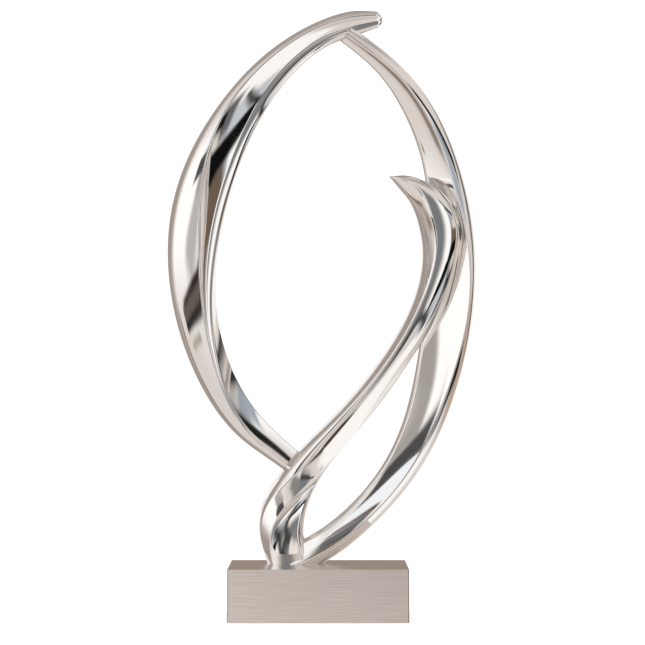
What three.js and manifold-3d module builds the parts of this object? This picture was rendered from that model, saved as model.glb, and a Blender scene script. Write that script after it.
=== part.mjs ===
// An abstract metal table sculpture: three polished bands on a brushed block.
// Millimetres, +Z up, the front towards -Y. The origin is the centre of the block's underside.
//
// A band is a bar whose section changes along its length. Its table gives, at a few stations:
//   x, z       the middle of the section in the front plane
//   y          how far that middle lies behind the origin
//   wide, deep the section's size across the band in the front plane, and from front to back
// and then where the section's ridges lie, in half widths (across) and half depths (deep).
// Across is positive to the left of the way the band runs; deep is positive to the front.

import * as THREE from 'three';
import { mergeVertices } from 'three/addons/utils/BufferGeometryUtils.js';
import Module from 'manifold-3d';

// ---------------------------------------------------------------- driving sizes

const BLOCK = { wide: 178, deep: 90, high: 52, edge: 0.8, corner: 1.6 };
const GAP = 0.3;                 // between pieces that are welded together
const SHOULDER_LEVEL = 150;      // above it the S-band is fitted to the blade, below it the reverse
const CORNER_POINTS = 3;         // facets round a soft corner of a section

const CRESCENT = {
  fields: ['x', 'z', 'y', 'wide', 'deep', 'ridge', 'lipOuter', 'lipInner', 'lipDepth', 'backDepth'],
  stations: [
    [-12.0, 143.0, 20, 23.0, 22, 0.50, 0.46, 0.38, 0.97, 0.05],
    [-42.7, 167.0, 18, 26.3, 25, 0.46, 0.42, 0.33, 0.97, 0.05],
    [-69.4, 190.1, 16, 31.5, 28, 0.34, 0.29, 0.18, 0.97, 0.02],
    [-108.7, 252.3, 14, 37.7, 33, -0.22, -0.29, -0.48, 0.92, 0.00],
    [-127.0, 329.8, 13, 46.8, 38, -0.40, -0.60, -0.88, 0.72, -0.10],
    [-120.7, 413.1, 13, 54.8, 42, -0.09, -0.63, -0.95, 0.48, -0.25],
    [-87.5, 496.6, 13, 46.3, 37, 0.45, -0.58, -0.97, 0.42, -0.35],
    [-25.8, 569.7, 13, 31.1, 27, 0.46, -0.34, -0.97, 0.45, -0.35],
    [13.2, 592.8, 13, 26.1, 23, 0.40, -0.30, -0.97, 0.45, -0.35],
    [38.7, 600.3, 13, 24.0, 21, 0.34, -0.30, -0.97, 0.45, -0.35],
    [57.8, 603.4, 13, 17.0, 16, 0.32, -0.30, -0.97, 0.45, -0.35],
  ],
  steps: 44,
  tip: 7.5,
};

const BLADE = {
  fields: ['x', 'z', 'y', 'wide', 'deep', 'ridge'],
  stations: [
    [-28.0, 52.0, 12, 30.0, 24, -0.34],
    [11.2, 73.8, 13, 30.3, 25, -0.34],
    [37.6, 94.7, 14, 30.4, 26, -0.40],
    [90.1, 158.4, 17, 35.5, 30, -0.46],
    [118.8, 230.8, 19, 44.2, 35, -0.56],
    [132.7, 307.7, 20, 50.3, 38, -0.74],
    [135.5, 379.0, 19, 47.1, 36, -0.62],
    [126.0, 450.2, 17, 36.5, 30, -0.30],
    [96.3, 521.4, 15, 28.2, 24, -0.16],
    [64.2, 560.3, 13, 21.2, 20, -0.12],
    [28.0, 589.0, 13, 18.2, 18, -0.10],
  ],
  steps: 44,
  tip: 0,
};

const S_BAND = {
  fields: ['x', 'z', 'y', 'wide', 'deep',
    'rim', 'rimDepth', 'crease', 'creaseDepth', 'keel', 'keelDepth', 'brow', 'browDepth'],
  stations: [
    [-24.0, 46.0, 12, 46.0, 34, -0.56, 0.60, 0.84, 0.70, 1.00, 0.00, 0.98, -0.40],
    [-31.4, 68.0, 12, 46.0, 36, -0.55, 0.60, 0.74, 0.85, 1.00, 0.25, 0.99, -0.30],
    [-34.9, 91.0, 12, 49.2, 38, -0.62, 0.52, 0.40, 0.98, 0.92, 0.55, 0.99, -0.05],
    [-18.6, 136.3, 11, 41.0, 35, -0.78, 0.22, -0.43, 0.78, 0.36, 0.96, 0.80, 0.48],
    [25.0, 190.2, 8, 29.5, 30, -0.92, -0.35, -1.00, 0.22, -0.14, 0.98, 0.62, 0.86],
    [77.5, 256.5, 5, 26.4, 28, -0.80, -0.60, -1.00, 0.08, -0.48, 0.78, 0.48, 1.00],
    [115.0, 328.2, 3, 30.6, 29, -0.70, -0.70, -1.00, 0.04, -0.76, 0.55, 0.42, 1.00],
    [123.2, 367.9, 2, 37.1, 31, -0.70, -0.70, -1.00, 0.02, -0.70, 0.62, 0.30, 1.00],
    [122.1, 390.4, 1, 40.7, 32, -0.70, -0.70, -1.00, 0.02, -0.70, 0.66, 0.30, 1.00],
    [112.9, 412.4, 0, 35.9, 29, -0.70, -0.70, -1.00, 0.02, -0.70, 0.66, 0.22, 1.00],
    [97.5, 428.6, -1, 24.7, 22, -0.70, -0.70, -1.00, 0.02, -0.70, 0.66, -0.10, 1.00],
    [83.3, 436.5, -2, 13.6, 14, -0.70, -0.70, -1.00, 0.02, -0.70, 0.66, -0.20, 1.00],
    [72.5, 441.0, -2, 1.5, 4, -0.70, -0.70, -1.00, 0.02, -0.70, 0.66, -0.20, 1.00],
  ],
  steps: 54,
  tip: 1,
};

// ---------------------------------------------------------------- curves through the stations

// A natural cubic spline through rows of values, at knots that need not be evenly spaced.
function naturalSpline(knots, rows) {
  const last = knots.length - 1;
  const width = rows[0].length;
  const span = knots.slice(1).map((knot, i) => knot - knots[i]);
  const bend = rows.map(() => new Array(width).fill(0));
  for (let c = 0; c < width; c++) {
    const factor = new Array(last + 1).fill(0);
    const value = new Array(last + 1).fill(0);
    for (let i = 1; i < last; i++) {
      const turn = 6 * ((rows[i + 1][c] - rows[i][c]) / span[i] - (rows[i][c] - rows[i - 1][c]) / span[i - 1]);
      const pivot = 2 * (span[i - 1] + span[i]) - span[i - 1] * factor[i - 1];
      factor[i] = span[i] / pivot;
      value[i] = (turn - span[i - 1] * value[i - 1]) / pivot;
    }
    for (let i = last - 1; i > 0; i--) bend[i][c] = value[i] - factor[i] * bend[i + 1][c];
  }
  return (at) => {
    let i = 0;
    while (i < last - 1 && at > knots[i + 1]) i++;
    const b = (at - knots[i]) / span[i];
    const a = 1 - b;
    const scale = (span[i] * span[i]) / 6;
    return rows[i].map((_, c) => a * rows[i][c] + b * rows[i + 1][c]
      + ((a ** 3 - a) * bend[i][c] + (b ** 3 - b) * bend[i + 1][c]) * scale);
  };
}

// The section's values at evenly spaced places along a band, with the way the band runs there.
function sectionsAlong({ fields, stations, steps }) {
  const knots = [0];
  for (let i = 1; i < stations.length; i++) {
    const [x, z] = stations[i];
    knots.push(knots[i - 1] + Math.hypot(x - stations[i - 1][0], z - stations[i - 1][1]));
  }
  const at = naturalSpline(knots, stations);
  const length = knots[knots.length - 1];
  const sections = [];
  for (let i = 0; i < steps; i++) {
    const place = (length * i) / (steps - 1);
    const before = at(Math.max(0, place - 0.01));
    const after = at(Math.min(length, place + 0.01));
    const run = new THREE.Vector2(after[0] - before[0], after[1] - before[1]).normalize();
    sections.push({ ...Object.fromEntries(at(place).map((v, c) => [fields[c], v])), run });
  }
  return sections;
}

// ---------------------------------------------------------------- sections

const SOFT = Infinity;           // a soft corner takes up the whole of both sides beside it

// A soft corner between two ridges, which swells (or hollows, if negative) the face between them.
function swell([ax, ay], [bx, by], amount) {
  return [(ax + bx) / 2 + (by - ay) * amount, (ay + by) / 2 - (bx - ax) * amount, SOFT];
}

// Each section is a list of corners [across, deep, radius in mm], from the left side over the front.
function crescentCorners(s) {
  const ridge = [s.ridge, 1, 1.4];
  const lipOuter = [s.lipOuter, s.lipDepth, 0.8];
  const lipInner = [s.lipInner, s.lipDepth - 0.22, 0.8];
  const inside = [-1, s.backDepth, 1.5];
  const hollow = -0.10 * Math.min(1, (s.ridge - s.lipOuter) * 3);
  return [
    [1, 0.62, SOFT], ridge, swell(ridge, lipOuter, hollow), lipOuter,
    swell(lipOuter, lipInner, 0.30), lipInner, swell(lipInner, inside, -0.04), inside,
    [-0.62, -0.98, SOFT], [0.45, -1.12, SOFT], [1, -0.62, SOFT],
  ];
}

function bladeCorners(s) {
  const lipWidth = 6 / s.wide;
  const heel = [1, -0.30, 2.2];
  const lip = [1 - lipWidth, 0.12, 0.8];
  const ridge = [s.ridge, 1, 1.0];
  return [
    heel, swell(heel, lip, 0.25), lip, swell(lip, ridge, -0.06), ridge,
    [-1, 0.60, SOFT], [-1, -0.55, SOFT], [-0.1, -1.15, SOFT], [0.8, -0.9, SOFT],
  ];
}

function sBandCorners(s) {
  const brow = [s.brow, s.browDepth, 1.6];
  const keel = [s.keel, s.keelDepth, 0.9];
  const crease = [s.crease, s.creaseDepth, 0.7];
  const rim = [s.rim, s.rimDepth, 1.2];
  return [
    [1, Math.min(0.30, s.browDepth - 0.45), SOFT], brow, swell(brow, keel, 0.14), keel,
    swell(keel, crease, 0.05), crease, swell(crease, rim, -0.16), rim,
    [-1, s.rimDepth - 0.5, SOFT], [-0.45, -1.0, SOFT], [0.55, -1.1, SOFT], [1, -0.55, SOFT],
  ];
}

// How much of the side from one corner to the next the first corner's rounding takes up.
function cornerShare(own, other, length) {
  const most = 0.45;
  if (own === SOFT) return other === SOFT ? 0.5 : 1 - Math.min(most, other / length);
  return Math.min(most, own / length);
}

// The section as a closed line of points in millimetres, each corner rounded by a parabola.
function sectionLine(corners, wide, deep) {
  const tips = corners.map(([across, depth]) => new THREE.Vector2((across * wide) / 2, (depth * deep) / 2));
  const points = [];
  tips.forEach((tip, i) => {
    const radius = corners[i][2];
    const side = (j) => {
      const other = (j + tips.length) % tips.length;
      const length = Math.max(tip.distanceTo(tips[other]), 1e-6);
      return tip.clone().lerp(tips[other], cornerShare(radius, corners[other][2], length));
    };
    const round = new THREE.QuadraticBezierCurve(side(i - 1), tip, side(i + 1));
    const count = radius === SOFT ? CORNER_POINTS : 1;
    for (let k = 0; k < count; k++) points.push(round.getPoint(k / count));
  });
  return points;
}

// ---------------------------------------------------------------- bands

// A closed mesh through rings of points, with its first ring closed flat and its last to a point.
function skinRings(rings, endPoint) {
  const count = rings[0].length;
  const middle = rings[0].reduce((sum, p) => sum.add(p), new THREE.Vector3()).divideScalar(count);
  const points = [...rings.flat(), middle, endPoint];
  const first = rings.length * count;
  const index = [];
  for (let r = 0; r < rings.length - 1; r++) {
    for (let j = 0; j < count; j++) {
      const a = r * count + j;
      const b = r * count + ((j + 1) % count);
      index.push(a, b, b + count, a, b + count, a + count);
    }
  }
  const end = (rings.length - 1) * count;
  for (let j = 0; j < count; j++) {
    const next = (j + 1) % count;
    index.push(first, next, j, first + 1, end + j, end + next);
  }
  const geometry = new THREE.BufferGeometry().setFromPoints(points);
  geometry.setIndex(index);
  return geometry;
}

// The band as a closed mesh, with its section grown by a margin all round.
function bandGeometry(band, cornersOf, margin = 0) {
  const sections = sectionsAlong(band);
  const ringAt = (s, along, shrink) => {
    const line = sectionLine(cornersOf(s), s.wide + 2 * margin, s.deep + 2 * margin);
    return line.map((p) => new THREE.Vector3(
      s.x - s.run.y * p.x * shrink + s.run.x * along,
      s.y - p.y * shrink,
      s.z + s.run.x * p.x * shrink + s.run.y * along,
    ));
  };
  const rings = sections.map((s) => ringAt(s, 0, 1));
  const last = sections[sections.length - 1];
  const tip = band.tip + (band.tip > 0 ? margin : 0);
  if (tip > 0) {
    for (const turn of [0.5, 0.9, 1.25]) rings.push(ringAt(last, tip * Math.sin(turn), Math.cos(turn)));
  }
  const end = new THREE.Vector3(last.x + last.run.x * tip, last.y, last.z + last.run.y * tip);
  return skinRings(rings, end);
}

// ---------------------------------------------------------------- cutting

const wasm = await Module();
wasm.setup();

function toSolid(geometry) {
  const bare = new THREE.BufferGeometry();
  bare.setAttribute('position', geometry.getAttribute('position'));
  bare.setIndex(geometry.getIndex());
  const merged = mergeVertices(bare, 1e-4);
  return new wasm.Manifold(new wasm.Mesh({
    numProp: 3,
    vertProperties: new Float32Array(merged.getAttribute('position').array),
    triVerts: new Uint32Array(merged.getIndex().array),
  }));
}

function toGeometry(solid) {
  const { vertProperties, triVerts } = solid.getMesh();
  const geometry = new THREE.BufferGeometry();
  geometry.setAttribute('position', new THREE.BufferAttribute(new Float32Array(vertProperties), 3));
  geometry.setIndex(new THREE.BufferAttribute(new Uint32Array(triVerts), 1));
  geometry.computeVertexNormals();
  return geometry;
}

// A big box that fills all the space from one height to another.
function slab(from, to) {
  const reach = 500;
  const box = new THREE.BoxGeometry(reach, reach, to - from);
  box.translate(0, 0, (from + to) / 2);
  return toSolid(box);
}

// ---------------------------------------------------------------- the block

function blockGeometry() {
  const x = BLOCK.wide / 2 - BLOCK.edge;
  const y = BLOCK.deep / 2 - BLOCK.edge;
  const r = BLOCK.corner;
  const outline = new THREE.Shape();
  outline.moveTo(-x + r, -y);
  outline.lineTo(x - r, -y);
  outline.absarc(x - r, -y + r, r, -Math.PI / 2, 0);
  outline.absarc(x - r, y - r, r, 0, Math.PI / 2);
  outline.absarc(-x + r, y - r, r, Math.PI / 2, Math.PI);
  outline.absarc(-x + r, -y + r, r, Math.PI, 1.5 * Math.PI);
  const block = new THREE.ExtrudeGeometry(outline, {
    depth: BLOCK.high - 2 * BLOCK.edge,
    bevelEnabled: true,
    bevelThickness: BLOCK.edge,
    bevelSize: BLOCK.edge,
    bevelSegments: 1,
    curveSegments: 3,
  });
  block.translate(0, 0, BLOCK.edge);
  return block;
}

// ---------------------------------------------------------------- the sculpture

const TOP_OF_ALL = 700;
const underFeet = slab(-100, BLOCK.high + GAP);
const lower = slab(0, SHOULDER_LEVEL);
const upper = slab(SHOULDER_LEVEL, TOP_OF_ALL);

const grownCrescent = toSolid(bandGeometry(CRESCENT, crescentCorners, GAP));
const grownBlade = toSolid(bandGeometry(BLADE, bladeCorners, GAP));
const grownSBand = toSolid(bandGeometry(S_BAND, sBandCorners, GAP));

// The crescent's lower end stops at the S-band that hides it.
const crescent = toSolid(bandGeometry(CRESCENT, crescentCorners)).subtract(grownSBand);

// The blade stops under the crescent's tip, beside the S-band's foot and on the block.
const blade = toSolid(bandGeometry(BLADE, bladeCorners))
  .subtract(grownCrescent)
  .subtract(grownSBand.intersect(lower))
  .subtract(underFeet);

// The S-band stands on the block, and its shoulder lies against the blade's inner face.
const sBand = toSolid(bandGeometry(S_BAND, sBandCorners))
  .subtract(grownBlade.intersect(upper))
  .subtract(underFeet);

const polished = new THREE.MeshStandardMaterial({ color: 0xd9d4ce, roughness: 0.05, metalness: 1 });
const brushed = new THREE.MeshStandardMaterial({ color: 0xb5afa8, roughness: 0.35, metalness: 1 });

function piece(name, geometry, material) {
  const mesh = new THREE.Mesh(geometry, material.clone());
  mesh.name = name;
  return mesh;
}

const sculpture = new THREE.Group();
sculpture.add(
  piece('base_block', blockGeometry(), brushed),
  piece('crescent_band', toGeometry(crescent), polished),
  piece('blade_band', toGeometry(blade), polished),
  piece('s_band', toGeometry(sBand), polished),
);

export default sculpture;
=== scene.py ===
"""A table sculpture: three mirror-polished metal bands welded together on a brushed block.

The block's sizes and the bands' tables are in millimetres, as in the part's source. Meshes are in
metres, +Z up, with the front towards -Y and the origin at the centre of the block's underside.
"""

import logging
import math
from dataclasses import dataclass, field
from enum import Enum
from typing import Callable, ClassVar

import bpy
import numpy as np
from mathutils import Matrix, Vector


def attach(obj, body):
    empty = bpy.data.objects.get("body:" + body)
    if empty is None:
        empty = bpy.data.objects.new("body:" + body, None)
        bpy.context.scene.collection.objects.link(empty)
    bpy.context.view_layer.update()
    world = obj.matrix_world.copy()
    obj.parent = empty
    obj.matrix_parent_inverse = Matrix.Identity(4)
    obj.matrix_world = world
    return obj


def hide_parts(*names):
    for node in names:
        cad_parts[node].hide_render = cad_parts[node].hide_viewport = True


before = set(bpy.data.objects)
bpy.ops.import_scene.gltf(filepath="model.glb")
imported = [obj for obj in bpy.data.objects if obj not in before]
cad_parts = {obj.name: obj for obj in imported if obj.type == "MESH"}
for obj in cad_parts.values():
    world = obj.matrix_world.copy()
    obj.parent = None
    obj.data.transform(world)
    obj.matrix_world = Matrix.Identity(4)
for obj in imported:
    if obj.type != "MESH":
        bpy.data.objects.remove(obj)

LOG = logging.getLogger("sculpture")
MM = 0.001

Corner = tuple[float, float, float]
Values = dict[str, float]


class Slot(Enum):
    """The record's material slots."""

    BANDS = "polished_bands"
    BLOCK = "brushed_block"


class TipForm(Enum):
    """How a band's far end is closed."""

    CUT = "cut"
    ROUND = "round"


# ------------------------------------------------------------------ finishes


class NodeBench:
    """Lays out the nodes of one material or world."""

    def __init__(self, tree: bpy.types.NodeTree) -> None:
        """Starts with an empty tree.

        Args:
            tree: The node tree to fill.
        """
        self.tree = tree
        tree.nodes.clear()

    def add(self, kind: str, **settings: object) -> bpy.types.Node:
        """Adds a node and sets its fields.

        Args:
            kind: The node's type name.
            **settings: Fields of the node, by name.

        Returns:
            The new node.
        """
        node = self.tree.nodes.new(kind)
        for name, value in settings.items():
            setattr(node, name, value)
        return node

    def link(self, source: bpy.types.NodeSocket, target: bpy.types.NodeSocket) -> None:
        """Joins two sockets."""
        self.tree.links.new(source, target)

    def math(self, operation: str, *values: object) -> bpy.types.NodeSocket:
        """Adds a Math node.

        Args:
            operation: The Math node's operation.
            *values: A socket or a number for each input.

        Returns:
            The node's output socket.
        """
        node = self.add("ShaderNodeMath", operation=operation)
        for place, value in enumerate(values):
            if isinstance(value, (int, float)):
                node.inputs[place].default_value = value
            else:
                self.link(value, node.inputs[place])
        return node.outputs[0]

    def ramp(self, value: bpy.types.NodeSocket, low: float, high: float,
             to_low: float = 0.0, to_high: float = 1.0) -> bpy.types.NodeSocket:
        """Adds a smooth Map Range node.

        Args:
            value: The socket to map.
            low: Where the output starts to leave to_low.
            high: Where the output reaches to_high.
            to_low: The output below low.
            to_high: The output above high.

        Returns:
            The mapped value's socket.
        """
        node = self.add("ShaderNodeMapRange", interpolation_type="SMOOTHSTEP", clamp=True)
        self.link(value, node.inputs["Value"])
        node.inputs["From Min"].default_value = low
        node.inputs["From Max"].default_value = high
        node.inputs["To Min"].default_value = to_low
        node.inputs["To Max"].default_value = to_high
        return node.outputs["Result"]

    def noise(self, vector: bpy.types.NodeSocket, scale: float, detail: float = 2.0) -> bpy.types.NodeSocket:
        """Adds a noise texture.

        Args:
            vector: Where it is read.
            scale: Its scale in waves a metre, or in waves a unit of the vector.
            detail: Its octaves.

        Returns:
            The noise value's socket, about 0 to 1.
        """
        node = self.add("ShaderNodeTexNoise")
        node.inputs["Scale"].default_value = scale
        node.inputs["Detail"].default_value = detail
        self.link(vector, node.inputs["Vector"])
        return node.outputs[0]

    def blend(self, share: bpy.types.NodeSocket, first: tuple[float, ...],
              second: tuple[float, ...]) -> bpy.types.NodeSocket:
        """Mixes two colours.

        Args:
            share: How much of the second colour.
            first: Red, green and blue.
            second: Red, green and blue.

        Returns:
            The mixed colour's socket.
        """
        node = self.add("ShaderNodeMix", data_type="RGBA")
        self.link(share, node.inputs["Factor"])
        node.inputs["A"].default_value = (*first, 1.0)
        node.inputs["B"].default_value = (*second, 1.0)
        return node.outputs["Result"]


@dataclass(frozen=True)
class MirrorPolish:
    """Warm nickel-bright polish, with faint waves and haze left by the wheel."""

    name: str = "mirror_polish"
    bright: tuple[float, float, float] = (0.88, 0.865, 0.85)
    warm: tuple[float, float, float] = (0.86, 0.84, 0.82)
    clear: float = 0.035
    hazy: float = 0.06
    wave_per_m: float = 14.0
    haze_per_m: float = 9.0
    wave_height: float = 0.00004

    def make(self) -> bpy.types.Material:
        """Builds the material and returns it."""
        material = bpy.data.materials.new(self.name)
        material.use_nodes = True
        bench = NodeBench(material.node_tree)
        place = bench.add("ShaderNodeTexCoord").outputs["Object"]
        metal = bench.add("ShaderNodeBsdfPrincipled")
        metal.inputs["Metallic"].default_value = 1.0
        tint = bench.blend(bench.noise(place, self.haze_per_m), self.bright, self.warm)
        bench.link(tint, metal.inputs["Base Color"])
        haze = bench.ramp(bench.noise(place, self.haze_per_m * 3, 4.0), 0.3, 0.7, self.clear, self.hazy)
        bench.link(haze, metal.inputs["Roughness"])
        wave = bench.add("ShaderNodeBump")
        wave.inputs["Strength"].default_value = 1.0
        wave.inputs["Distance"].default_value = self.wave_height
        bench.link(bench.noise(place, self.wave_per_m, 1.0), wave.inputs["Height"])
        bench.link(wave.outputs["Normal"], metal.inputs["Normal"])
        out = bench.add("ShaderNodeOutputMaterial")
        bench.link(metal.outputs["BSDF"], out.inputs["Surface"])
        return material


@dataclass(frozen=True)
class BrushedSatin:
    """Satin metal, brushed lengthwise with fine even lines that follow the map named brush."""

    name: str = "brushed_satin"
    light: tuple[float, float, float] = (0.93, 0.88, 0.845)
    dark: tuple[float, float, float] = (0.78, 0.73, 0.695)
    smooth: float = 0.20
    rough: float = 0.26
    lines_per_m: float = 2600.0
    run_per_m: float = 22.0
    line_height: float = 0.0000025

    def make(self) -> bpy.types.Material:
        """Builds the material and returns it."""
        material = bpy.data.materials.new(self.name)
        material.use_nodes = True
        bench = NodeBench(material.node_tree)
        uv = bench.add("ShaderNodeUVMap", uv_map=BlockMap.BRUSH.value).outputs["UV"]
        stretch = bench.add("ShaderNodeMapping")
        stretch.inputs["Scale"].default_value = (self.run_per_m, self.lines_per_m, 1.0)
        bench.link(uv, stretch.inputs["Vector"])
        lines = bench.noise(stretch.outputs["Vector"], 1.0, 3.0)
        metal = bench.add("ShaderNodeBsdfPrincipled")
        metal.inputs["Metallic"].default_value = 1.0
        metal.inputs["Anisotropic"].default_value = 0.55
        metal.inputs["Anisotropic Rotation"].default_value = 0.25
        tint = bench.blend(bench.ramp(lines, 0.3, 0.7), self.dark, self.light)
        bench.link(tint, metal.inputs["Base Color"])
        bench.link(bench.ramp(lines, 0.25, 0.75, self.rough, self.smooth), metal.inputs["Roughness"])
        along = bench.add("ShaderNodeTangent", direction_type="UV_MAP", uv_map=BlockMap.BRUSH.value)
        bench.link(along.outputs["Tangent"], metal.inputs["Tangent"])
        groove = bench.add("ShaderNodeBump")
        groove.inputs["Strength"].default_value = 0.6
        groove.inputs["Distance"].default_value = self.line_height
        bench.link(lines, groove.inputs["Height"])
        bench.link(groove.outputs["Normal"], metal.inputs["Normal"])
        out = bench.add("ShaderNodeOutputMaterial")
        bench.link(metal.outputs["BSDF"], out.inputs["Surface"])
        return material


# ------------------------------------------------------------------ bands


def natural_spline(knots: np.ndarray, rows: np.ndarray) -> Callable[[np.ndarray], np.ndarray]:
    """A natural cubic spline through rows of values.

    Args:
        knots: The place of each row, rising.
        rows: One row of values for each knot.

    Returns:
        A function from places to rows of values.
    """
    span = np.diff(knots)
    count = len(knots)
    slope = np.diff(rows, axis=0) / span[:, None]
    system = np.eye(count)
    right = np.zeros_like(rows)
    for i in range(1, count - 1):
        system[i, i - 1:i + 2] = span[i - 1], 2 * (span[i - 1] + span[i]), span[i]
        right[i] = 6 * (slope[i] - slope[i - 1])
    bend = np.linalg.solve(system, right)

    def at(places: np.ndarray) -> np.ndarray:
        """Returns one row of values for each place."""
        i = np.clip(np.searchsorted(knots, places, side="right") - 1, 0, count - 2)
        b = ((places - knots[i]) / span[i])[:, None]
        a = 1 - b
        scale = (span[i] ** 2 / 6)[:, None]
        return a * rows[i] + b * rows[i + 1] + ((a**3 - a) * bend[i] + (b**3 - b) * bend[i + 1]) * scale

    return at


SOFT = math.inf     # a soft corner takes up the whole of both sides beside it


def swell(first: Corner, second: Corner, amount: float) -> Corner:
    """A soft corner between two ridges.

    Args:
        first: The ridge before it.
        second: The ridge after it.
        amount: How far the face swells out, or hollows if it is negative, as a share of its width.

    Returns:
        The corner.
    """
    across, deep = second[0] - first[0], second[1] - first[1]
    return (first[0] + second[0]) / 2 + deep * amount, (first[1] + second[1]) / 2 - across * amount, SOFT


def corner_share(own: float, other: float, length: float) -> float:
    """How much of one side of the section a corner's rounding takes up.

    Args:
        own: The corner's radius in mm.
        other: The radius of the corner at the side's other end.
        length: The side's length in mm.

    Returns:
        The share, at most 1.
    """
    most = 0.45
    if own == SOFT:
        return 0.5 if other == SOFT else 1 - min(most, other / length)
    return min(most, own / length)


@dataclass
class Band:
    """A polished band: a bar whose section changes along its length.

    Each station gives x and z, the middle of the section in the front plane; y, how far that lies
    behind the origin; wide and deep, the section's size; and then where its ridges lie, in half
    widths to the left of the way the band runs and half depths to the front.
    """

    name: ClassVar[str] = "band"
    node: ClassVar[str] = "band"
    fields: ClassVar[tuple[str, ...]] = ()
    stations: ClassVar[tuple[tuple[float, ...], ...]] = ()
    tip_form: ClassVar[TipForm] = TipForm.CUT
    tip_mm: ClassVar[float] = 0.0
    finish: MirrorPolish = field(default_factory=MirrorPolish)
    rings: int = 240
    soft_points: int = 10
    ridge_points: int = 4
    tip_rings: int = 7

    def corners(self, at: Values) -> list[Corner]:
        """The section's corners, from the left side over the front and round the back.

        Args:
            at: The band's values at one place.

        Returns:
            Each corner's place in half widths and half depths, and its radius in mm.
        """
        raise NotImplementedError

    def section(self, at: Values) -> np.ndarray:
        """The section as a closed line.

        Args:
            at: The band's values at one place.

        Returns:
            Points in mm, across the band and from back to front.
        """
        corners = self.corners(at)
        half = np.array([at["wide"] / 2, at["deep"] / 2])
        tips = np.array([corner[:2] for corner in corners]) * half
        radii = [corner[2] for corner in corners]
        line = []
        for i, tip in enumerate(tips):
            following = (i + 1) % len(tips)
            before, after = tips[i - 1], tips[following]
            reach_in = corner_share(radii[i], radii[i - 1], float(np.hypot(*(tip - before))) + 1e-6)
            reach_out = corner_share(radii[i], radii[following], float(np.hypot(*(tip - after))) + 1e-6)
            start, end = tip + (before - tip) * reach_in, tip + (after - tip) * reach_out
            count = self.soft_points if radii[i] == SOFT else self.ridge_points
            t = ((1 - np.cos(np.pi * np.arange(count) / count)) / 2)[:, None]
            line.append((1 - t) ** 2 * start + 2 * (1 - t) * t * tip + t**2 * end)
        return np.concatenate(line)

    def loops(self) -> tuple[np.ndarray, np.ndarray]:
        """The band's rings of points.

        Returns:
            An array of rings by points by 3 in mm, and the point that closes the far end.
        """
        rows = np.array(self.stations)
        steps = np.hypot(np.diff(rows[:, 0]), np.diff(rows[:, 1]))
        knots = np.concatenate([[0.0], np.cumsum(steps)])
        at = natural_spline(knots, rows)
        places = np.linspace(0.0, knots[-1], self.rings)
        values = at(places)
        step = 0.01
        ahead = at(np.minimum(places + step, knots[-1])) - at(np.maximum(places - step, 0.0))
        runs = ahead[:, :2] / np.hypot(ahead[:, 0], ahead[:, 1])[:, None]
        rings = [self.place(dict(zip(self.fields, row)), run, 0.0, 1.0) for row, run in zip(values, runs)]
        last, run = dict(zip(self.fields, values[-1])), runs[-1]
        if self.tip_form is TipForm.ROUND:
            for turn in np.linspace(0.0, math.pi / 2, self.tip_rings + 2)[1:-1]:
                rings.append(self.place(last, run, self.tip_mm * math.sin(turn), math.cos(turn)))
        end = np.array([last["x"] + run[0] * self.tip_mm, last["y"], last["z"] + run[1] * self.tip_mm])
        return np.array(rings), end

    def place(self, at: Values, run: np.ndarray, along: float, shrink: float) -> np.ndarray:
        """One ring of points in space.

        Args:
            at: The band's values there.
            run: The way the band runs, in x and z.
            along: How far the ring is moved along the band.
            shrink: The ring's scale.

        Returns:
            Points in mm.
        """
        line = self.section(at) * shrink
        across, deep = line[:, 0], line[:, 1]
        return np.stack([
            at["x"] - run[1] * across + run[0] * along,
            at["y"] - deep,
            at["z"] + run[0] * across + run[1] * along,
        ], axis=1)

    def build(self) -> bpy.types.Object:
        """Builds the band, dresses it and puts it in the frame.

        Returns:
            The band's object.
        """
        rings, end = self.loops()
        count, size = rings.shape[:2]
        points = np.concatenate([rings.reshape(-1, 3), rings[0].mean(axis=0)[None], end[None]]) * MM
        ring = np.arange(count - 1)[:, None] * size
        near = (ring + np.arange(size)).reshape(-1)
        far = (ring + (np.arange(size) + 1) % size).reshape(-1)
        faces = np.stack([near, far, far + size, near + size], axis=1).tolist()
        first, top = count * size, (count - 1) * size
        for j in range(size):
            after = (j + 1) % size
            faces.append([first, after, j])
            faces.append([first + 1, top + j, top + after])
        mesh = bpy.data.meshes.new(self.name)
        mesh.from_pydata(points.tolist(), [], faces)
        mesh.shade_smooth()
        mesh.materials.append(self.finish.make())
        return install(mesh, self.name, self.node)


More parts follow.
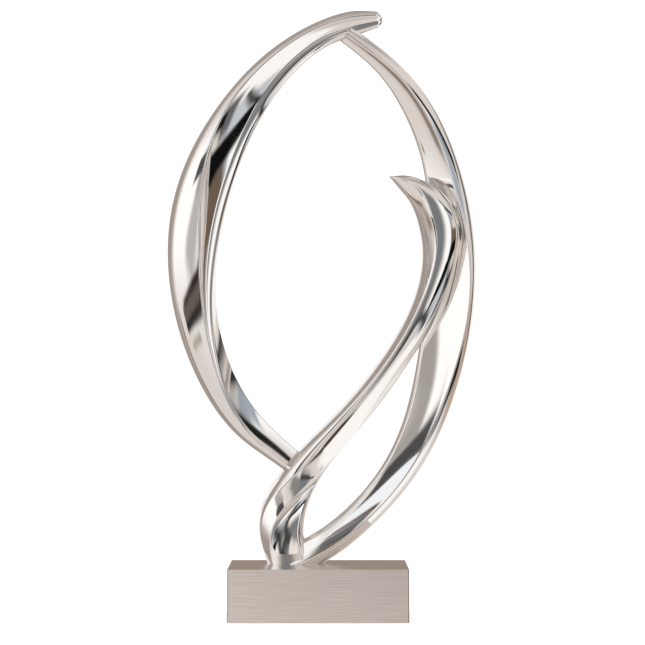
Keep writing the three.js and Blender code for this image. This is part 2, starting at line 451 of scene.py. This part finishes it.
@dataclass
class Crescent(Band):
    """The left band: a crescent with a ridge down its face and a raised lip on its inside."""

    name: ClassVar[str] = "crescent"
    node: ClassVar[str] = "crescent_band"
    fields: ClassVar[tuple[str, ...]] = (
        "x", "z", "y", "wide", "deep", "ridge", "lip_outer", "lip_inner", "lip_depth", "back_depth",
    )
    stations: ClassVar[tuple[tuple[float, ...], ...]] = (
        (-12.0, 143.0, 20, 23.0, 22, 0.50, 0.46, 0.38, 0.97, 0.05),
        (-42.7, 167.0, 18, 26.3, 25, 0.46, 0.42, 0.33, 0.97, 0.05),
        (-69.4, 190.1, 16, 31.5, 28, 0.34, 0.29, 0.18, 0.97, 0.02),
        (-108.7, 252.3, 14, 37.7, 33, -0.22, -0.29, -0.48, 0.92, -0.05),
        (-127.0, 329.8, 13, 46.8, 38, -0.40, -0.60, -0.88, 0.74, -0.15),
        (-120.7, 413.1, 13, 54.8, 42, -0.09, -0.63, -0.95, 0.26, -0.35),
        (-87.5, 496.6, 13, 46.3, 37, 0.45, -0.58, -0.97, 0.10, -0.45),
        (-25.8, 569.7, 13, 31.1, 27, 0.46, -0.34, -0.97, 0.30, -0.40),
        (13.2, 592.8, 13, 26.1, 23, 0.40, -0.30, -0.97, 0.40, -0.35),
        (38.7, 600.3, 13, 24.0, 21, 0.34, -0.30, -0.97, 0.45, -0.35),
        (57.8, 603.4, 13, 17.0, 16, 0.32, -0.30, -0.97, 0.45, -0.35),
    )
    tip_form: ClassVar[TipForm] = TipForm.ROUND
    tip_mm: ClassVar[float] = 7.5
    lip_step: float = 0.18
    face_hollow: float = -0.10
    lip_swell: float = 0.16
    inner_hollow: float = -0.04

    def corners(self, at: Values) -> list[Corner]:
        """The section's corners, as Band.corners says."""
        ridge = (at["ridge"], 1.0, 1.4)
        lip_outer = (at["lip_outer"], at["lip_depth"], 0.8)
        lip_inner = (at["lip_inner"], at["lip_depth"] - self.lip_step, 0.8)
        inside = (-1.0, at["back_depth"], 1.5)
        hollow = self.face_hollow * min(1.0, (at["ridge"] - at["lip_outer"]) * 3)
        return [
            (1.0, 0.76, SOFT), ridge, swell(ridge, lip_outer, hollow), lip_outer,
            swell(lip_outer, lip_inner, self.lip_swell), lip_inner,
            swell(lip_inner, inside, self.inner_hollow), inside,
            (-0.62, -0.98, SOFT), (0.45, -1.12, SOFT), (1.0, -0.62, SOFT),
        ]


@dataclass
class Blade(Band):
    """The right band: a bowed blade with a broad inner face, one ridge and a thin lip."""

    name: ClassVar[str] = "blade"
    node: ClassVar[str] = "blade_band"
    fields: ClassVar[tuple[str, ...]] = ("x", "z", "y", "wide", "deep", "ridge", "lip_depth")
    stations: ClassVar[tuple[tuple[float, ...], ...]] = (
        (-28.0, 52.0, 12, 30.0, 24, -0.34, 0.52),
        (11.2, 73.8, 13, 30.3, 25, -0.34, 0.52),
        (37.6, 94.7, 14, 30.4, 26, -0.40, 0.52),
        (90.1, 158.4, 17, 35.5, 30, -0.46, 0.50),
        (118.8, 230.8, 19, 44.2, 35, -0.56, 0.40),
        (132.7, 307.7, 20, 50.3, 38, -0.74, 0.18),
        (135.5, 379.0, 19, 47.1, 36, -0.62, 0.12),
        (126.0, 450.2, 17, 36.5, 30, -0.30, 0.12),
        (96.3, 521.4, 15, 28.2, 24, -0.16, 0.12),
        (64.2, 560.3, 13, 21.2, 20, -0.12, 0.12),
        (28.0, 589.0, 13, 18.2, 18, -0.10, 0.12),
    )
    lip_mm: float = 3.0
    lip_swell: float = 0.25
    face_hollow: float = -0.06

    def corners(self, at: Values) -> list[Corner]:
        """The section's corners, as Band.corners says."""
        heel = (1.0, -0.30, 2.2)
        lip = (1.0 - 2 * self.lip_mm / at["wide"], at["lip_depth"], 0.8)
        ridge = (at["ridge"], 1.0, 1.0)
        return [
            heel, swell(heel, lip, self.lip_swell), lip, swell(lip, ridge, self.face_hollow), ridge,
            (-1.0, 0.60, SOFT), (-1.0, -0.55, SOFT), (-0.1, -1.15, SOFT), (0.8, -0.9, SOFT),
        ]


@dataclass
class SBand(Band):
    """The front band: S-shaped, with four ridges that turn round it from its foot to its beak."""

    name: ClassVar[str] = "s_curve"
    node: ClassVar[str] = "s_band"
    fields: ClassVar[tuple[str, ...]] = (
        "x", "z", "y", "wide", "deep",
        "rim", "rim_depth", "crease", "crease_depth", "keel", "keel_depth", "brow", "brow_depth",
        "keel_round", "brow_swell",
    )
    stations: ClassVar[tuple[tuple[float, ...], ...]] = (
        (-24.0, 46.0, 12, 46.0, 34, -0.56, 0.60, 0.84, 0.70, 1.00, 0.00, 0.98, -0.40, 0.9, 0.14),
        (-31.4, 68.0, 12, 46.0, 36, -0.55, 0.60, 0.74, 0.85, 1.00, 0.25, 0.99, -0.30, 0.9, 0.14),
        (-34.9, 91.0, 12, 49.2, 38, -0.62, 0.52, 0.40, 0.98, 0.92, 0.55, 0.99, -0.05, 0.9, 0.14),
        (-18.6, 136.3, 11, 41.0, 35, -0.78, 0.22, -0.43, 0.78, 0.36, 0.86, 0.80, 0.48, 0.9, 0.18),
        (25.0, 190.2, 8, 29.5, 30, -0.92, -0.35, -1.00, 0.22, -0.14, 0.84, 0.62, 0.86, 0.9, 0.22),
        (77.5, 256.5, 5, 26.4, 28, -0.80, -0.60, -1.00, 0.08, -0.48, 0.70, 0.48, 1.00, 0.9, 0.18),
        (115.0, 328.2, 3, 30.6, 29, -0.70, -0.70, -1.00, 0.04, -0.76, 0.55, 0.42, 1.00, 1.5, 0.15),
        (123.2, 367.9, 2, 37.1, 31, -0.70, -0.70, -1.00, 0.02, -0.74, 0.62, 0.30, 1.00, 6.0, 0.14),
        (122.1, 390.4, 1, 40.7, 32, -0.70, -0.70, -1.00, 0.02, -0.74, 0.66, 0.30, 1.00, 8.0, 0.14),
        (112.9, 412.4, 0, 35.9, 29, -0.70, -0.70, -1.00, 0.02, -0.74, 0.66, 0.22, 1.00, 7.0, 0.14),
        (97.5, 428.6, -1, 24.7, 22, -0.70, -0.70, -1.00, 0.02, -0.74, 0.66, -0.10, 1.00, 4.0, 0.14),
        (83.3, 436.5, -2, 13.6, 14, -0.70, -0.70, -1.00, 0.02, -0.70, 0.66, -0.20, 1.00, 2.0, 0.14),
        (72.5, 441.0, -2, 1.5, 4, -0.70, -0.70, -1.00, 0.02, -0.70, 0.66, -0.20, 1.00, 0.5, 0.14),
    )
    tip_form: ClassVar[TipForm] = TipForm.ROUND
    tip_mm: ClassVar[float] = 1.0
    rings: int = 280
    keel_swell: float = 0.05
    dark_hollow: float = -0.16

    def corners(self, at: Values) -> list[Corner]:
        """The section's corners, as Band.corners says."""
        brow = (at["brow"], at["brow_depth"], 1.6)
        keel = (at["keel"], at["keel_depth"], at["keel_round"])
        crease = (at["crease"], at["crease_depth"], 0.7)
        rim = (at["rim"], at["rim_depth"], 1.2)
        return [
            (1.0, min(0.30, at["brow_depth"] - 0.45), SOFT), brow, swell(brow, keel, at["brow_swell"]), keel,
            swell(keel, crease, self.keel_swell), crease, swell(crease, rim, self.dark_hollow), rim,
            (-1.0, at["rim_depth"] - 0.5, SOFT), (-0.45, -1.0, SOFT), (0.55, -1.1, SOFT), (1.0, -0.55, SOFT),
        ]


# ------------------------------------------------------------------ the block


class BlockMap(Enum):
    """The block's texture maps."""

    BRUSH = "brush"


@dataclass
class Block:
    """The rectangular block that the bands are welded to."""

    wide: float = 178 * MM
    deep: float = 90 * MM
    high: float = 52 * MM
    corner: float = 1.6 * MM
    edge: float = 0.8 * MM
    finish: BrushedSatin = field(default_factory=BrushedSatin)

    def tree(self, material: bpy.types.Material) -> bpy.types.NodeTree:
        """A rounded rectangle drawn up into a closed block.

        Args:
            material: The block's finish.

        Returns:
            The Geometry Nodes tree.
        """
        tree = bpy.data.node_groups.new("block_shape", "GeometryNodeTree")
        for name in ("Wide", "Deep", "High", "Corner"):
            tree.interface.new_socket(name, in_out="INPUT", socket_type="NodeSocketFloat")
        tree.interface.new_socket("Block", in_out="OUTPUT", socket_type="NodeSocketGeometry")
        bench = NodeBench(tree)
        sizes = bench.add("NodeGroupInput")
        outline = bench.add("GeometryNodeCurvePrimitiveQuadrilateral")
        bench.link(sizes.outputs["Wide"], outline.inputs["Width"])
        bench.link(sizes.outputs["Deep"], outline.inputs["Height"])
        fillet = bench.add("GeometryNodeFilletCurve")
        if "Mode" in fillet.inputs:
            fillet.inputs["Mode"].default_value = "Poly"
        else:
            fillet.mode = "POLY"
        fillet.inputs["Count"].default_value = 6
        bench.link(outline.outputs["Curve"], fillet.inputs["Curve"])
        bench.link(sizes.outputs["Corner"], fillet.inputs["Radius"])
        fill = bench.add("GeometryNodeFillCurve")
        bench.link(fillet.outputs["Curve"], fill.inputs["Curve"])
        up = bench.add("ShaderNodeCombineXYZ")
        bench.link(sizes.outputs["High"], up.inputs["Z"])
        raised = bench.add("GeometryNodeExtrudeMesh")
        raised.inputs["Individual"].default_value = False
        bench.link(fill.outputs["Mesh"], raised.inputs["Mesh"])
        bench.link(up.outputs["Vector"], raised.inputs["Offset"])
        underside = bench.add("GeometryNodeFlipFaces")
        bench.link(fill.outputs["Mesh"], underside.inputs["Mesh"])
        whole = bench.add("GeometryNodeJoinGeometry")
        bench.link(raised.outputs["Mesh"], whole.inputs["Geometry"])
        bench.link(underside.outputs["Mesh"], whole.inputs["Geometry"])
        welded = bench.add("GeometryNodeMergeByDistance")
        bench.link(whole.outputs["Geometry"], welded.inputs["Geometry"])
        real = bench.add("GeometryNodeRealizeInstances")
        bench.link(welded.outputs["Geometry"], real.inputs["Geometry"])
        dressed = bench.add("GeometryNodeSetMaterial")
        dressed.inputs["Material"].default_value = material
        bench.link(real.outputs["Geometry"], dressed.inputs["Geometry"])
        out = bench.add("NodeGroupOutput")
        bench.link(dressed.outputs["Geometry"], out.inputs["Block"])
        return tree

    def drawn(self, tree: bpy.types.NodeTree) -> bpy.types.Mesh:
        """Runs the tree.

        Args:
            tree: The tree that tree() made.

        Returns:
            The block as a plain mesh.
        """
        maker = bpy.data.objects.new("block_maker", bpy.data.meshes.new("block_maker"))
        bpy.context.scene.collection.objects.link(maker)
        modifier = maker.modifiers.new("shape", "NODES")
        modifier.node_group = tree
        sizes = {"Wide": self.wide, "Deep": self.deep, "High": self.high, "Corner": self.corner}
        for item in tree.interface.items_tree:
            if item.in_out == "INPUT":
                modifier[item.identifier] = sizes[item.name]
        graph = bpy.context.evaluated_depsgraph_get()
        mesh = bpy.data.meshes.new_from_object(maker.evaluated_get(graph), depsgraph=graph)
        maker.modifiers.clear()
        bpy.data.objects.remove(maker)
        mesh.name = "block"
        return mesh

    def map_brush(self, mesh: bpy.types.Mesh) -> None:
        """Gives each face a map in metres, with its first axis along the brushed lines.

        Args:
            mesh: The block's mesh.
        """
        layer = mesh.uv_layers.new(name=BlockMap.BRUSH.value)
        for face in mesh.polygons:
            side = abs(face.normal.x) > abs(face.normal.y) and abs(face.normal.x) > abs(face.normal.z)
            flat = abs(face.normal.z) > 0.7
            for loop in face.loop_indices:
                x, y, z = mesh.vertices[mesh.loops[loop].vertex_index].co
                run = y if side else x
                rise = y if flat else z
                layer.data[loop].uv = (run + 1.0, rise + 1.0 + (2.0 if flat else 0.0))

    def build(self) -> bpy.types.Object:
        """Builds the block, dresses it and puts it in the frame.

        Returns:
            The block's object.
        """
        material = self.finish.make()
        mesh = self.drawn(self.tree(material))
        self.map_brush(mesh)
        block = install(mesh, "block", "base_block")
        bevel = block.modifiers.new("edge", "BEVEL")
        bevel.width = self.edge
        bevel.segments = 3
        bevel.limit_method = "ANGLE"
        bevel.angle_limit = math.radians(40)
        bevel.harden_normals = True
        return block


def install(mesh: bpy.types.Mesh, name: str, node: str) -> bpy.types.Object:
    """Puts a finished mesh in the frame in place of its CAD node.

    Args:
        mesh: The piece's mesh, in place.
        name: The piece's name.
        node: The CAD node that it stands for.

    Returns:
        The piece's object.
    """
    piece = bpy.data.objects.new(name, mesh)
    bpy.context.scene.collection.objects.link(piece)
    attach(piece, "root")
    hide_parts(node)
    LOG.info("%s: %d faces, stands for %s", name, len(mesh.polygons), node)
    return piece


# ------------------------------------------------------------------ the studio


@dataclass(frozen=True)
class Panel:
    """A soft-edged patch of the studio round the sculpture, in degrees.

    Turn is 0 in front of the sculpture, 90 on its right and 180 behind it, and rise is above the
    horizon; they are the patch's middle. Tilt turns the patch about its middle.
    """

    turn: float
    rise: float
    wide: float
    high: float
    tilt: float
    light: tuple[float, float, float]
    edge: float

    def mask(self, bench: NodeBench, turn: bpy.types.NodeSocket,
             rise: bpy.types.NodeSocket) -> bpy.types.NodeSocket:
        """Lays out the patch's outline.

        Args:
            bench: Where the nodes go.
            turn: The turn of the direction looked in, in degrees.
            rise: Its rise in degrees.

        Returns:
            A socket, 1 on the patch and 0 off it.
        """
        aside = bench.math("WRAP", bench.math("SUBTRACT", turn, self.turn), -180.0, 180.0)
        above = bench.math("SUBTRACT", rise, self.rise)
        if self.tilt:
            c, s = math.cos(math.radians(self.tilt)), math.sin(math.radians(self.tilt))
            along = bench.math("MULTIPLY_ADD", aside, c, bench.math("MULTIPLY", above, s))
            above = bench.math("MULTIPLY_ADD", above, c, bench.math("MULTIPLY", aside, -s))
            aside = along
        return bench.math("MULTIPLY", self.span(bench, aside, self.wide / 2),
                          self.span(bench, above, self.high / 2))

    def span(self, bench: NodeBench, offset: bpy.types.NodeSocket, half: float) -> bpy.types.NodeSocket:
        """Lays out one direction of the outline.

        Args:
            bench: Where the nodes go.
            offset: The distance from the patch's middle in degrees.
            half: Half the patch's size in degrees.

        Returns:
            A socket, 1 within half the size and 0 beyond it.
        """
        soft = self.edge / 2
        return bench.ramp(bench.math("ABSOLUTE", offset), half - soft, half + soft, 1.0, 0.0)


@dataclass
class Studio:
    """The surroundings, a pale floor, one lamp and the camera.

    The camera and the diffuse light see plain white surroundings. The polished metal reflects a
    beige studio in which soft-edged panels are laid, each over the ones before it.
    """

    camera_at: tuple[float, float, float] = (0.0043, -1.708, 0.237)
    camera_pitch: float = 0.0336
    lens: float = 94.88
    floor_x: tuple[float, float] = (-1.3, 1.3)
    floor_y: tuple[float, float] = (-0.6, 3.0)
    floor_paint: float = 0.93
    floor_glow: float = 0.17
    open_light: float = 1.3
    lamp_at: tuple[float, float, float] = (-0.4, -0.6, 1.9)
    lamp_towards: tuple[float, float, float] = (0.0, 0.0, 0.3)
    lamp_size: tuple[float, float] = (1.6, 1.2)
    lamp_watts: float = 6.0
    fill: tuple[float, float, float] = (0.78, 0.73, 0.69)
    panels: tuple[Panel, ...] = (
        # above and below
        Panel(0, 90, 720, 76, 0, (0.48, 0.44, 0.41), 12),
        Panel(0, -90, 720, 70, 0, (0.66, 0.62, 0.58), 14),
        # behind, on the left and on the right
        Panel(-118, 0, 76, 200, 0, (0.40, 0.35, 0.32), 34),
        Panel(180, 6, 90, 60, 0, (1.05, 1.02, 1.00), 14),
        Panel(180, 0, 26, 200, 0, (0.34, 0.28, 0.24), 14),
        Panel(112, -12, 40, 22, 0, (0.55, 0.42, 0.33), 10),
        Panel(119, 6, 36, 9, -60, (0.06, 0.05, 0.04), 7),
        Panel(110, 24, 18, 22, 0, (0.13, 0.125, 0.12), 14),
        # the left side, with dark and tan lines
        Panel(-46, 12, 54, 34, 0, (1.20, 1.18, 1.17), 22),
        Panel(-27, 5, 16, 12, 60, (0.56, 0.53, 0.52), 6),
        Panel(-79, -28, 8, 36, -14, (0.26, 0.20, 0.16), 6),
        Panel(-34, -6, 38, 4.5, 13, (0.15, 0.12, 0.10), 1.5),
        Panel(-34, -7.6, 38, 1.4, 13, (0.012, 0.010, 0.010), 1),
        Panel(-30, -3.4, 34, 1.2, 12, (0.020, 0.015, 0.015), 1),
        Panel(-38, -11.3, 24, 1.0, 15, (0.42, 0.36, 0.31), 0.8),
        # a bright opening high on the left, in a dark frame
        Panel(-24, 11.8, 15, 4.5, 0, (0.42, 0.39, 0.37), 4),
        Panel(-29, 16, 22, 5, 0, (0.08, 0.08, 0.08), 1.5),
        Panel(-29, 18.6, 22, 0.9, 0, (0.01, 0.01, 0.01), 0.8),
        Panel(-29, 22.6, 22, 7, 0, (1.02, 1.05, 1.10), 1.5),
        Panel(-26, 26.4, 15, 1.2, -11, (0.20, 0.14, 0.10), 0.8),
        Panel(-26, 25.4, 14, 0.9, -14, (0.01, 0.01, 0.01), 0.8),
        Panel(-26, 29.6, 13, 5, -8, (0.155, 0.16, 0.17), 1),
        Panel(-27, 32.4, 10, 1.2, 0, (0.01, 0.01, 0.01), 0.8),
        Panel(-29, 34.6, 10, 3, 0, (0.20, 0.15, 0.11), 1),
        Panel(-18.5, 28.5, 24, 3, -56, (1.10, 1.10, 1.10), 1.5),
        # the right side
        Panel(13, 8, 26, 46, 0, (0.21, 0.22, 0.235), 12),
        Panel(44, 8, 24, 44, 0, (1.12, 1.12, 1.12), 8),
        Panel(62, 4, 14, 52, 0, (0.36, 0.385, 0.43), 7),
        Panel(62, -38, 60, 30, 0, (1.10, 1.08, 1.06), 12),
        Panel(54, -18.5, 30, 9, 10, (0.62, 0.65, 0.70), 4),
        Panel(74, -19, 14, 14, 20, (0.15, 0.15, 0.155), 6),
        Panel(76, 1, 34, 13, 8, (0.17, 0.12, 0.085), 5),
        Panel(64, -9.6, 50, 6.4, 13, (0.005, 0.005, 0.005), 2),
        Panel(88, -15.5, 22, 7, 15, (0.01, 0.01, 0.01), 4),
        Panel(16, -10, 18, 4, -14, (0.06, 0.06, 0.06), 3),
        Panel(54, -22, 18, 3, -22, (0.06, 0.06, 0.06), 3),
        Panel(35, -15.2, 24, 1.8, -20, (0.03, 0.03, 0.03), 1.5),
        Panel(15, -20, 40, 2.4, -33, (0.045, 0.03, 0.025), 2),
        Panel(65, 22.5, 36, 5, -16, (0.40, 0.45, 0.52), 4),
        Panel(66, 29, 40, 5, -18, (0.015, 0.015, 0.015), 2),
        # the floor in front, and the dark round the lens
        Panel(-1, -11, 18, 10, 0, (0.95, 0.87, 0.82), 4),
        Panel(2, 0, 14, 14, 0, (0.28, 0.27, 0.26), 8),
    )

    def surroundings(self) -> None:
        """Makes the world: white to the eye, white as light, and the panels in reflections."""
        world = bpy.data.worlds.new("studio")
        world.use_nodes = True
        bpy.context.scene.world = world
        bench = NodeBench(world.node_tree)
        direction = bench.add("ShaderNodeTexCoord").outputs["Generated"]
        parts = bench.add("ShaderNodeSeparateXYZ")
        bench.link(direction, parts.inputs["Vector"])
        x, y, z = (parts.outputs[axis] for axis in "XYZ")
        turn = bench.math("DEGREES", bench.math("ARCTAN2", x, bench.math("MULTIPLY", y, -1.0)))
        rise = bench.math("DEGREES", bench.math("ARCSINE", z))
        colour = None
        for panel in self.panels:
            mix = bench.add("ShaderNodeMix", data_type="RGBA")
            bench.link(panel.mask(bench, turn, rise), mix.inputs["Factor"])
            if colour is None:
                mix.inputs["A"].default_value = (*self.fill, 1.0)
            else:
                bench.link(colour, mix.inputs["A"])
            mix.inputs["B"].default_value = (*panel.light, 1.0)
            colour = mix.outputs["Result"]
        seen = bench.add("ShaderNodeBackground")
        bench.link(colour, seen.inputs["Color"])
        plain = bench.add("ShaderNodeBackground")
        plain.inputs["Color"].default_value = (1.0, 1.0, 1.0, 1.0)
        plain.inputs["Strength"].default_value = self.open_light
        path = bench.add("ShaderNodeLightPath")
        open_ray = bench.math("MAXIMUM", path.outputs["Is Camera Ray"], path.outputs["Is Diffuse Ray"])
        both = bench.add("ShaderNodeMixShader")
        bench.link(open_ray, both.inputs["Fac"])
        bench.link(seen.outputs["Background"], both.inputs[1])
        bench.link(plain.outputs["Background"], both.inputs[2])
        out = bench.add("ShaderNodeOutputWorld")
        bench.link(both.outputs["Shader"], out.inputs["Surface"])

    def floor(self) -> None:
        """Makes the pale floor."""
        (x0, x1), (y0, y1) = self.floor_x, self.floor_y
        mesh = bpy.data.meshes.new("floor")
        mesh.from_pydata([(x0, y0, 0.0), (x1, y0, 0.0), (x1, y1, 0.0), (x0, y1, 0.0)], [], [[0, 1, 2, 3]])
        material = bpy.data.materials.new("pale_floor")
        material.use_nodes = True
        paint = material.node_tree.nodes["Principled BSDF"]
        paint.inputs["Base Color"].default_value = (*(self.floor_paint,) * 3, 1.0)
        paint.inputs["Specular IOR Level"].default_value = 0.0
        paint.inputs["Emission Color"].default_value = (1.0, 1.0, 1.0, 1.0)
        paint.inputs["Emission Strength"].default_value = self.floor_glow
        mesh.materials.append(material)
        floor = bpy.data.objects.new("floor", mesh)
        bpy.context.scene.collection.objects.link(floor)
        floor.visible_glossy = False

    def lamps(self) -> None:
        """Hangs one broad soft lamp above."""
        data = bpy.data.lights.new("overhead", "AREA")
        data.shape = "RECTANGLE"
        data.size, data.size_y = self.lamp_size
        data.energy = self.lamp_watts
        lamp = bpy.data.objects.new("overhead", data)
        lamp.location = self.lamp_at
        lamp.rotation_euler = (Vector(self.lamp_towards) - lamp.location).to_track_quat("-Z", "Y").to_euler()
        lamp.visible_glossy = False
        bpy.context.scene.collection.objects.link(lamp)

    def camera(self) -> None:
        """Sets up the camera."""
        data = bpy.data.cameras.new("camera")
        data.lens = self.lens
        data.clip_start, data.clip_end = 0.05, 50.0
        camera = bpy.data.objects.new("camera", data)
        camera.location = self.camera_at
        camera.rotation_euler = (math.pi / 2 + self.camera_pitch, 0.0, 0.0)
        bpy.context.scene.collection.objects.link(camera)
        bpy.context.scene.camera = camera

    def build(self) -> None:
        """Builds the whole studio."""
        self.camera()
        self.surroundings()
        self.floor()
        self.lamps()
        bpy.context.scene.view_settings.view_transform = "Standard"
        LOG.info("studio: %d panels", len(self.panels))


def main() -> None:
    """Builds the sculpture and its studio."""
    logging.basicConfig(level=logging.INFO, format="%(name)s: %(message)s")
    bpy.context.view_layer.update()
    Studio().build()
    Block().build()
    for band in (Crescent(), Blade(), SBand()):
        band.build()


if __name__ == "__main__":
    main()
